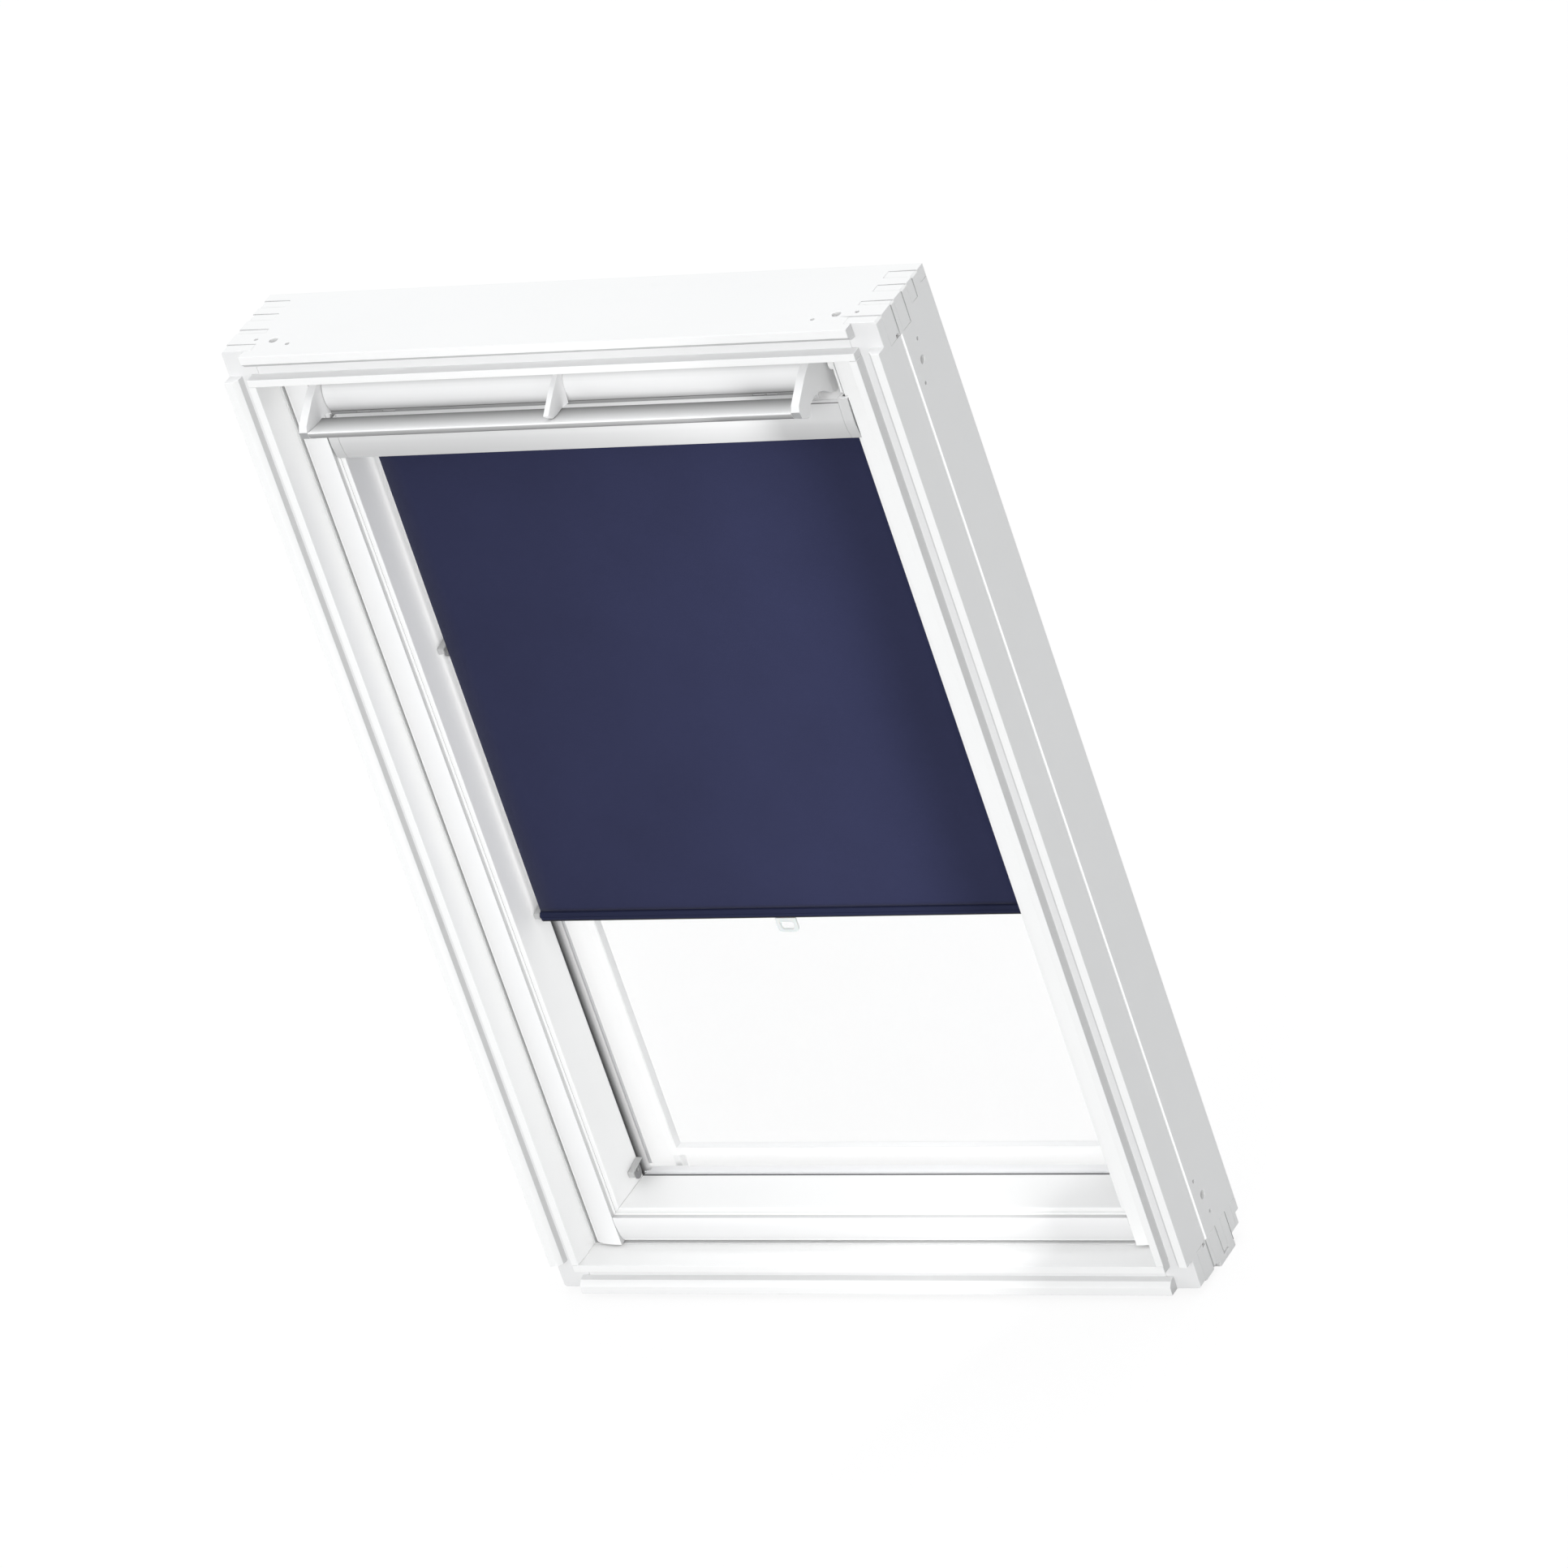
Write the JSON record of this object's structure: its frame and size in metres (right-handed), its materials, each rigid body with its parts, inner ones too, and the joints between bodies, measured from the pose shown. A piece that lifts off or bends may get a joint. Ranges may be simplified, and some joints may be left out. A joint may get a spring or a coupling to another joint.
{
  "type": "centre-pivot roof window with roller blind",
  "caption": "White centre-pivot roof window with a ventilation flap and control bar, carrying a navy spring roller blind on side hooks.",
  "frame": {"origin": "middle of the underside of the sill's foot", "axes": "+X to the right seen from the room, +Y from the room to the outside, +Z from sill to head"},
  "size_m": [0.78, 0.1779, 1.1865],
  "materials": {
    "white_wood": "white lacquered wood, satin",
    "pale_rubber": "pale grey, matt",
    "plated_steel": "zinc plated",
    "white_plastic": "moulded, satin",
    "pale_cladding": "lacquered pale grey",
    "clear_glass": "clear float",
    "grey_foam": "open foam",
    "white_metal": "white lacquer",
    "satin_aluminium": "satin",
    "navy_fabric": "close woven blackout cloth",
    "navy_metal": "satin",
    "pale_plastic": "translucent"
  },
  "bodies": {
    "frame": {"frame_head": "white_wood", "frame_sill": "white_wood", "frame_jamb_left": "white_wood", "frame_jamb_right": "white_wood", "frame_seal": "pale_rubber", "frame_hinge_left": "plated_steel", "frame_hinge_right": "plated_steel", "striker_plate": "plated_steel", "bolt_bush": "white_plastic", "frame_cover_left": "pale_cladding", "frame_cover_right": "pale_cladding", "frame_cover_top": "pale_cladding"},
    "vent_flap": {"flap_axle": "plated_steel", "vent_flap": "white_metal", "flap_bracket_left": "satin_aluminium", "flap_bracket_right": "satin_aluminium", "flap_bracket_middle": "satin_aluminium", "control_bar": "satin_aluminium"},
    "barrel_bolt": {"barrel_bolt": "white_plastic"},
    "roller": {"drive_plug": "white_plastic", "idle_plug": "white_plastic", "roller_tube": "satin_aluminium", "fabric_roll": "navy_fabric"},
    "blind_bar": {"fabric_sheet": "navy_fabric", "bottom_bar": "navy_metal", "bar_pin_left": "navy_metal", "bar_pin_right": "navy_metal", "pull_tab": "pale_plastic"},
    "sash": {"sash_stile_left": "white_wood", "sash_stile_right": "white_wood", "sash_rail_bottom": "white_wood", "sash_rail_top": "white_wood", "glazing_gasket": "pale_rubber", "sash_hinge_left": "plated_steel", "sash_hinge_right": "plated_steel", "lock_case": "plated_steel", "latch_bolt": "plated_steel", "blind_bracket_left": "plated_steel", "blind_bracket_right": "plated_steel", "spring_shaft": "plated_steel", "roller_spring": "plated_steel", "flap_bearing_left": "white_plastic", "flap_bearing_right": "white_plastic", "side_hook_1_left": "white_plastic", "side_hook_1_right": "white_plastic", "side_hook_2_left": "white_plastic", "side_hook_2_right": "white_plastic", "side_hook_3_left": "white_plastic", "side_hook_3_right": "white_plastic", "sash_cover_left": "pale_cladding", "sash_cover_right": "pale_cladding", "sash_cover_bottom": "pale_cladding", "sash_cover_top": "pale_cladding", "pane_spacer": "pale_cladding", "pane_inner": "clear_glass", "pane_outer": "clear_glass", "vent_filter": "grey_foam", "rail_cap_left": "satin_aluminium", "rail_cap_right": "satin_aluminium", "head_rail": "satin_aluminium"}
  },
  "joints": [
    {"name": "sash_pivot", "type": "hinge", "parent": "frame", "child": "sash", "pos_m": [0, 0.0035, 0.5965], "axis": [1, 0, 0], "range_deg": [0, 165]},
    {"name": "flap_tilt", "type": "hinge", "parent": "sash", "child": "vent_flap", "pos_m": [0, -0.0325, 1.1225], "axis": [1, 0, 0], "range_deg": [0, 40]},
    {"name": "barrel_slide", "type": "slide", "parent": "sash", "child": "barrel_bolt", "axis": [1, 0, 0], "range_m": [0, 0.012]},
    {"name": "blind_travel", "type": "slide", "parent": "sash", "child": "blind_bar", "axis": [0, 0, 1], "range_m": [-0.325, 0.58], "deforming": ["fabric_sheet"]},
    {"name": "roller_turn", "type": "hinge", "parent": "sash", "child": "roller", "pos_m": [0, -0.0097, 1.0615], "axis": [1, 0, 0], "range_deg": [-1600, 2800]}
  ],
  "couplings": [
    {"joint": "roller_turn", "follows": "blind_travel", "rad_per_m": 81.967}
  ]
}
